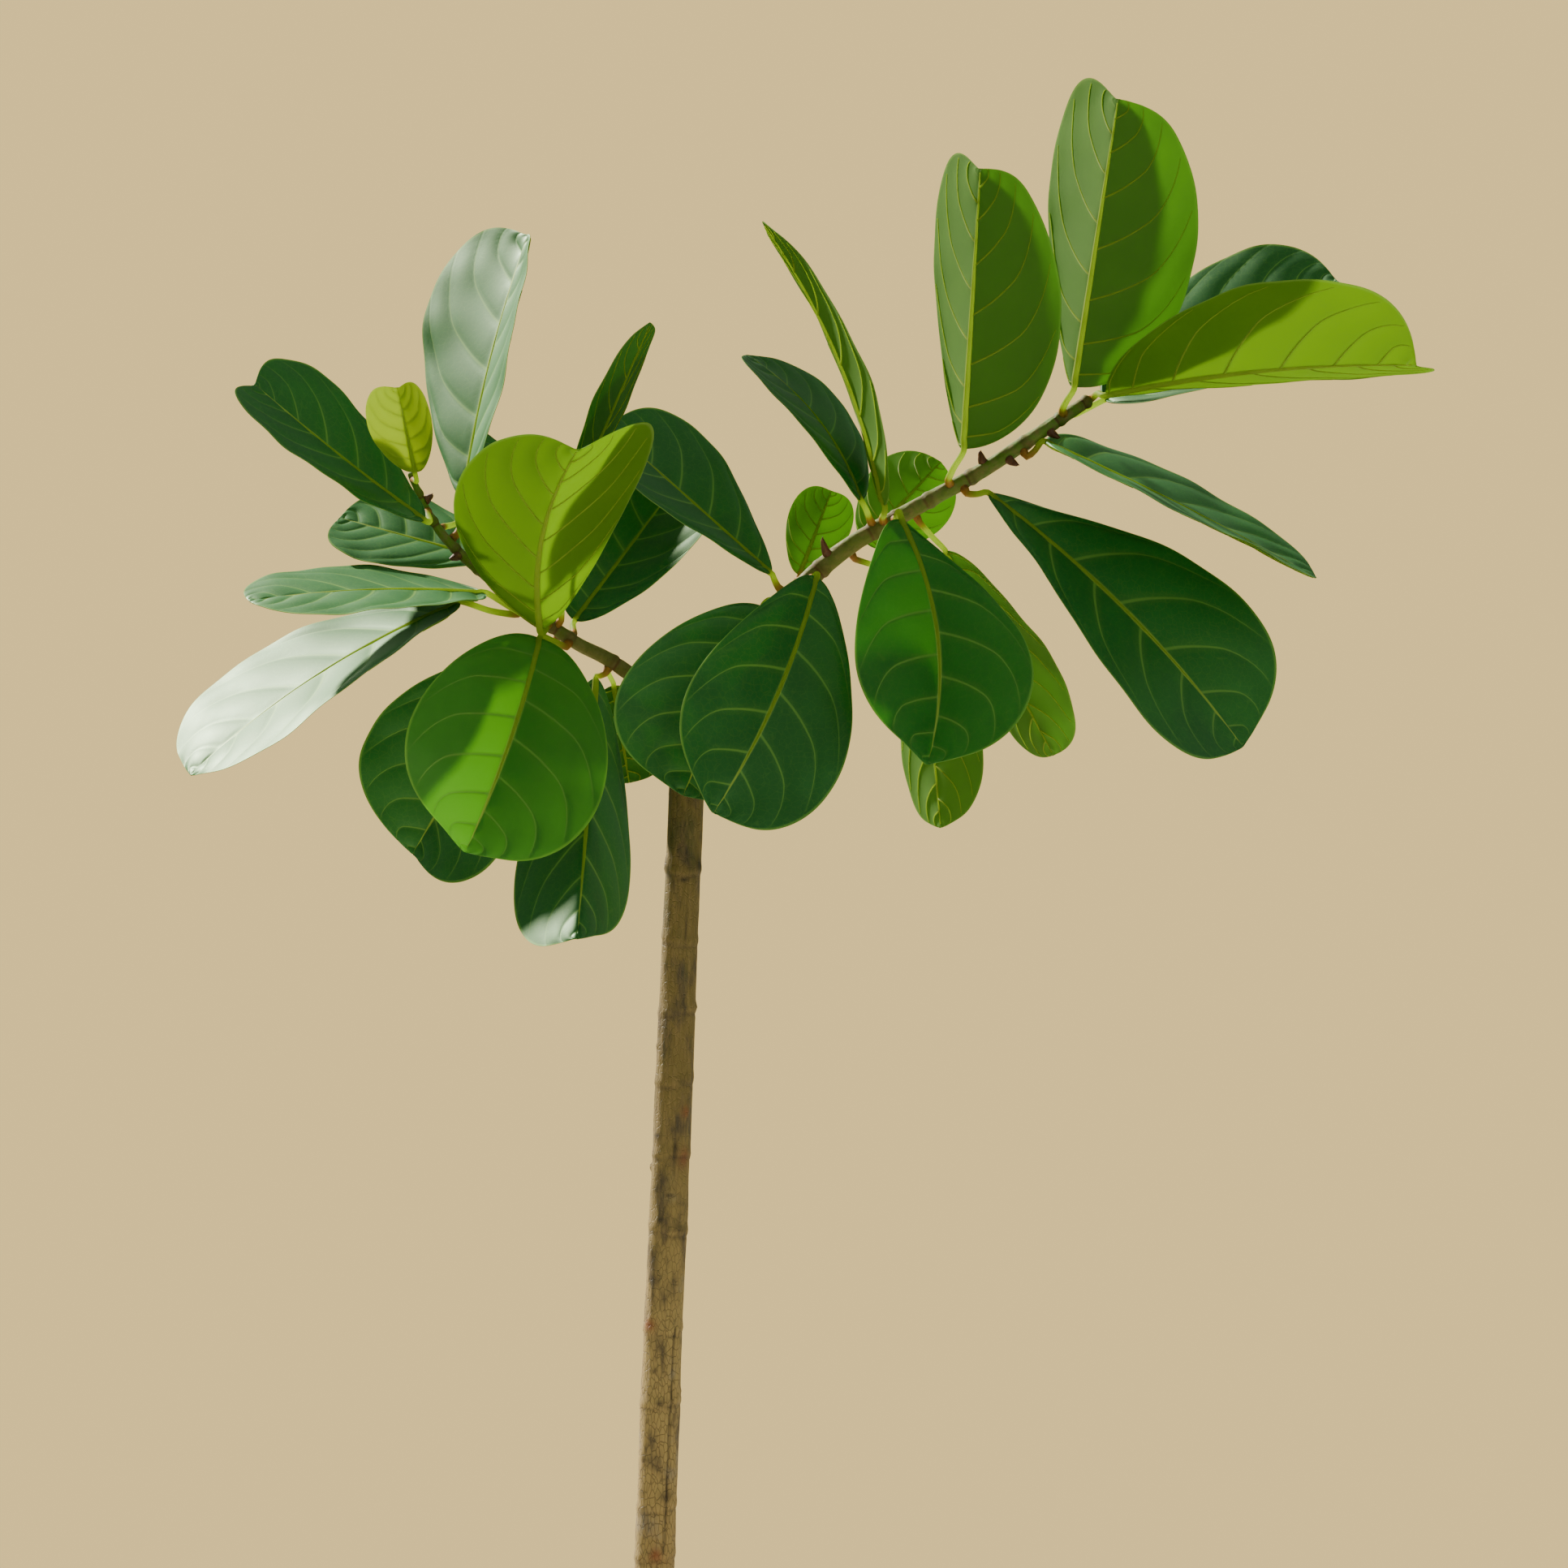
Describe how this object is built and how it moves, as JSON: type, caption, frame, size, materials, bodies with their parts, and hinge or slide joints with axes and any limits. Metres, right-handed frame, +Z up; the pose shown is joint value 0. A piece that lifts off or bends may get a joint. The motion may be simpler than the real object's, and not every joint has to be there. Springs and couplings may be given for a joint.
{
  "type": "potted fiddle leaf fig",
  "caption": "Young fiddle leaf fig in a plain clay pot: a bare trunk that forks into two branches of broad, leathery, fiddle-shaped leaves.",
  "frame": {"origin": "centre of the pot's base, on the surface it stands on", "axes": "+Z up along the trunk, +X towards the tip of the longer, higher branch, -Y the side from which the crown is seen spread out"},
  "size_m": [0.9238, 0.3289, 1.4884],
  "materials": {
    "clay": "unglazed fired clay, matt, with a faint pale bloom",
    "soil": "dark, crumbly potting soil",
    "bark": "brown bark with leaf scars and fine cracks",
    "green_bark": "young green-brown bark, satin",
    "leaf": "deep green leathery upper side with a waxy sheen, paler olive underside, yellow-green veins",
    "young_leaf": "thin, bright yellow-green young leaf",
    "scale": "dry red-brown bud sheaths"
  },
  "bodies": {
    "root": {"pot": "clay", "soil": "soil", "trunk": "bark", "left_branch": "green_bark", "right_branch": "green_bark", "bud_scale_1": "scale", "bud_scale_2": "scale", "bud_scale_3": "scale", "bud_scale_4": "scale", "bud_scale_5": "scale", "bud_scale_6": "scale", "left_leaf_1": "leaf", "left_leaf_2": "leaf", "left_leaf_3": "leaf", "left_leaf_4": "leaf", "left_leaf_5": "leaf", "left_leaf_6": "leaf", "left_leaf_7": "leaf", "left_leaf_8": "leaf", "left_leaf_9": "leaf", "left_leaf_10": "leaf", "left_leaf_11": "leaf", "left_leaf_12": "leaf", "left_leaf_13": "leaf", "left_leaf_14": "young_leaf", "right_leaf_1": "leaf", "right_leaf_2": "leaf", "right_leaf_3": "leaf", "right_leaf_4": "leaf", "right_leaf_5": "leaf", "right_leaf_6": "leaf", "right_leaf_7": "leaf", "right_leaf_8": "leaf", "right_leaf_9": "leaf", "right_leaf_10": "leaf", "right_leaf_11": "leaf", "right_leaf_12": "leaf", "right_leaf_13": "leaf", "right_leaf_14": "leaf", "right_leaf_15": "leaf", "right_leaf_16": "leaf"}
  },
  "joints": []
}
